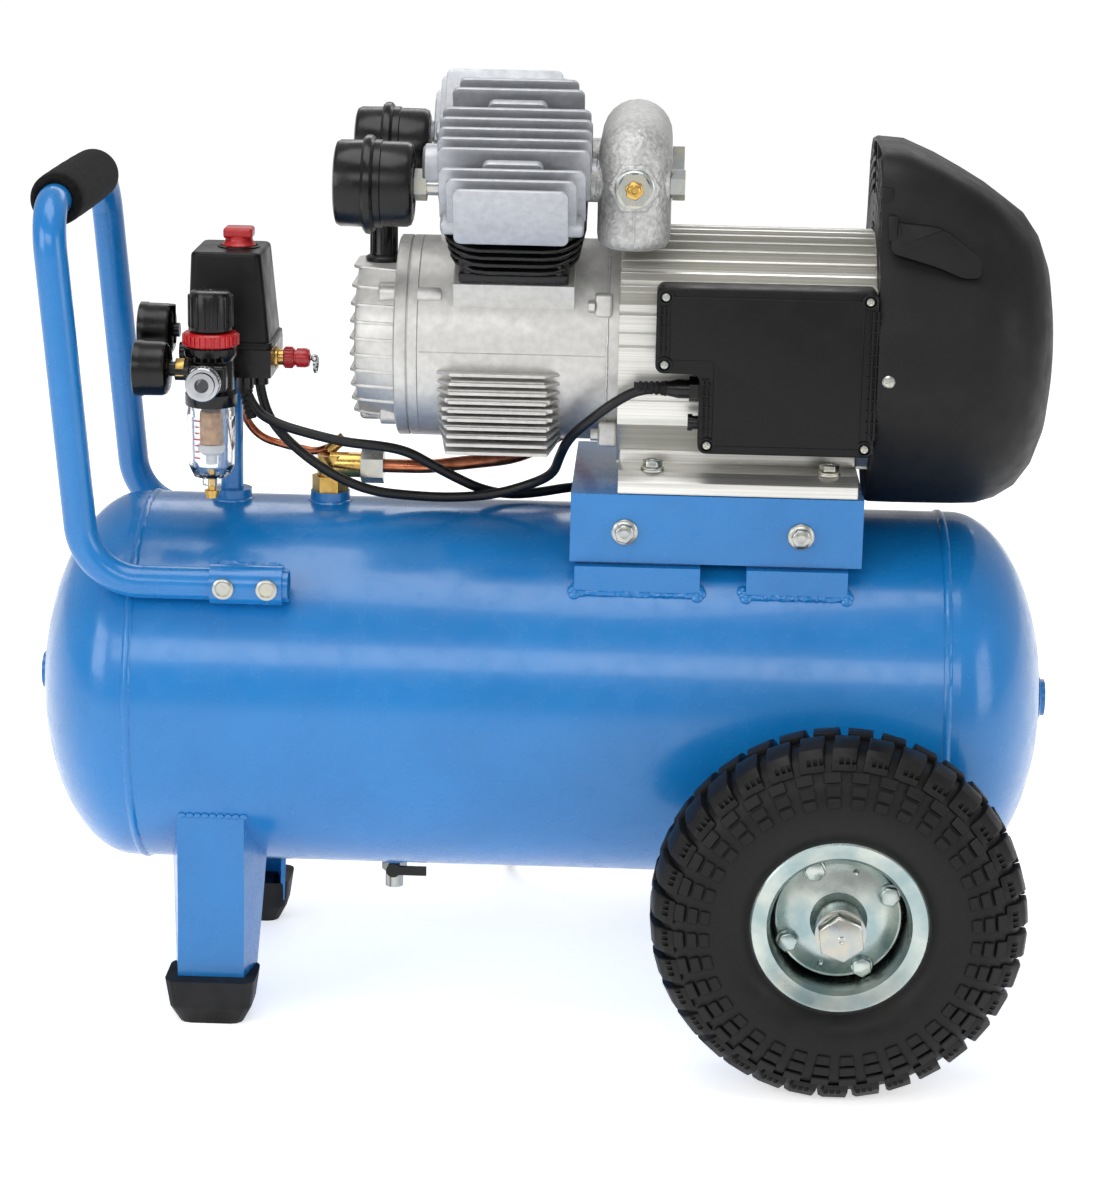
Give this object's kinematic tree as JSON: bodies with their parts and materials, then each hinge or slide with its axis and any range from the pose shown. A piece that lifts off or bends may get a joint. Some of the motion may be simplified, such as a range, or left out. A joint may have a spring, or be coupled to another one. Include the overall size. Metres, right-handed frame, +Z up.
{
  "type": "air compressor",
  "caption": "Portable direct-drive air compressor: V-twin pump and flange motor on a blue wheeled receiver with handle, regulator and gauges.",
  "frame": {"origin": "on the ground, midway between the two ends of the receiver and midway between the wheels", "axes": "+X along the receiver towards the wheels, +Y to the operator's left, +Z up"},
  "size_m": [0.772, 0.6418, 0.7039],
  "materials": {
    "blue_enamel": "gloss enamel",
    "black_rubber": "matte",
    "tyre_rubber": "matte",
    "foam": "closed-cell foam",
    "zinc_steel": "bright zinc plate",
    "chromated_steel": "clear chromate zinc",
    "cast_aluminium": "as cast, tumbled",
    "machined_aluminium": "machined",
    "black_iron": "gloss black paint",
    "electrical_steel": "laminated core",
    "forged_steel": "ground",
    "black_abs": "fine texture",
    "grey_abs": "textured",
    "black_nylon": "moulded",
    "red_plastic": "moulded",
    "copper_tube": "drawn tube",
    "brass": "machined",
    "black_steel": "black oxide",
    "clear_pc": "clear polycarbonate",
    "sintered_bronze": "porous",
    "nickel_steel": "nickel plate",
    "pvc_sheath": "flexible sheath"
  },
  "bodies": {
    "frame": {"tank": "blue_enamel", "tank_brackets": "blue_enamel", "legs": "blue_enamel", "foot_pads": "black_rubber", "handle_tube": "blue_enamel", "handle_grip": "foam", "wheel_axles": "zinc_steel", "motor_cradle": "blue_enamel", "motor_housing": "cast_aluminium", "stator": "electrical_steel", "end_shield": "cast_aluminium", "fan_cowl": "grey_abs", "terminal_box": "black_abs", "terminal_box_cover": "black_abs", "capacitors": "grey_abs", "crankcase": "cast_aluminium", "crankcase_cover": "cast_aluminium", "breather_tube": "black_nylon", "cylinders": "black_iron", "cylinder_heads": "cast_aluminium", "connecting_rods": "machined_aluminium", "intake_silencers": "black_abs", "air_collector": "cast_aluminium", "check_valve": "brass", "copper_pipes": "copper_tube", "pipe_fittings": "zinc_steel", "riser_pipe": "blue_enamel", "pressure_switch": "black_nylon", "switch_cover": "black_abs", "safety_valve": "brass", "cable_glands": "black_nylon", "regulator_body": "black_steel", "regulator_ring": "red_plastic", "filter_bowl": "clear_pc", "filter_element": "sintered_bronze", "pressure_gauges": "black_steel", "quick_coupler": "nickel_steel", "drain_valve": "nickel_steel", "motor_lead": "pvc_sheath", "mains_lead": "pvc_sheath", "mains_coil": "pvc_sheath", "mains_plug": "black_nylon", "fasteners": "zinc_steel"},
    "crank": {"crankshaft": "forged_steel", "motor_rotor": "electrical_steel", "cooling_fan": "black_nylon"},
    "right_piston_body": {"right_piston": "machined_aluminium"},
    "left_piston_body": {"left_piston": "machined_aluminium"},
    "right_wheel": {"right_rim": "chromated_steel", "right_tyre": "tyre_rubber"},
    "left_wheel": {"left_rim": "chromated_steel", "left_tyre": "tyre_rubber"},
    "switch_knob_body": {"switch_knob": "red_plastic"},
    "regulator_knob_body": {"regulator_knob": "black_abs"},
    "coupler_sleeve_body": {"coupler_sleeve": "nickel_steel"},
    "bowl_drain_body": {"bowl_drain": "brass"},
    "safety_ring_body": {"safety_ring": "nickel_steel"},
    "drain_lever_body": {"drain_lever": "black_nylon"},
    "reset_button_body": {"reset_button": "black_rubber"}
  },
  "joints": [
    {"name": "right_wheel_spin", "type": "hinge", "parent": "frame", "child": "right_wheel", "pos_m": [0.222, -0.211, 0.134], "axis": [0, 1, 0], "continuous": true},
    {"name": "left_wheel_spin", "type": "hinge", "parent": "frame", "child": "left_wheel", "pos_m": [0.222, 0.211, 0.134], "axis": [0, 1, 0], "continuous": true},
    {"name": "crank_spin", "type": "hinge", "parent": "frame", "child": "crank", "pos_m": [0, 0, 0.508], "axis": [1, 0, 0], "continuous": true, "deforming": ["connecting_rods"]},
    {"name": "right_piston_slide", "type": "slide", "parent": "frame", "child": "right_piston_body", "axis": [0, -0.5, 0.866], "range_m": [-0.035, 0.0029], "deforming": ["connecting_rods"]},
    {"name": "left_piston_slide", "type": "slide", "parent": "frame", "child": "left_piston_body", "axis": [0, 0.5, 0.866], "range_m": [-0.035, 0.0029], "deforming": ["connecting_rods"]},
    {"name": "switch_knob_pull", "type": "slide", "parent": "frame", "child": "switch_knob_body", "axis": [0, 0, 1], "range_m": [0, 0.006]},
    {"name": "regulator_turn", "type": "hinge", "parent": "frame", "child": "regulator_knob_body", "pos_m": [-0.244, -0.075, 0.53], "axis": [0, 0, 1], "range_deg": [-720, 720]},
    {"name": "coupler_sleeve_slide", "type": "slide", "parent": "frame", "child": "coupler_sleeve_body", "axis": [0, 1, 0], "range_m": [0, 0.004], "stiffness_N_per_m": 800},
    {"name": "bowl_drain_push", "type": "slide", "parent": "frame", "child": "bowl_drain_body", "axis": [0, 0, 1], "range_m": [0, 0.003], "stiffness_N_per_m": 300},
    {"name": "safety_ring_pull", "type": "slide", "parent": "frame", "child": "safety_ring_body", "axis": [1, 0, 0], "range_m": [0, 0.003], "stiffness_N_per_m": 500},
    {"name": "drain_lever_turn", "type": "hinge", "parent": "frame", "child": "drain_lever_body", "pos_m": [-0.113, -0.0123, 0.086], "axis": [0, 1, 0], "range_deg": [0, 90]},
    {"name": "reset_button_press", "type": "slide", "parent": "frame", "child": "reset_button_body", "axis": [1, 0, 0], "range_m": [0, 0.003], "stiffness_N_per_m": 300}
  ]
}
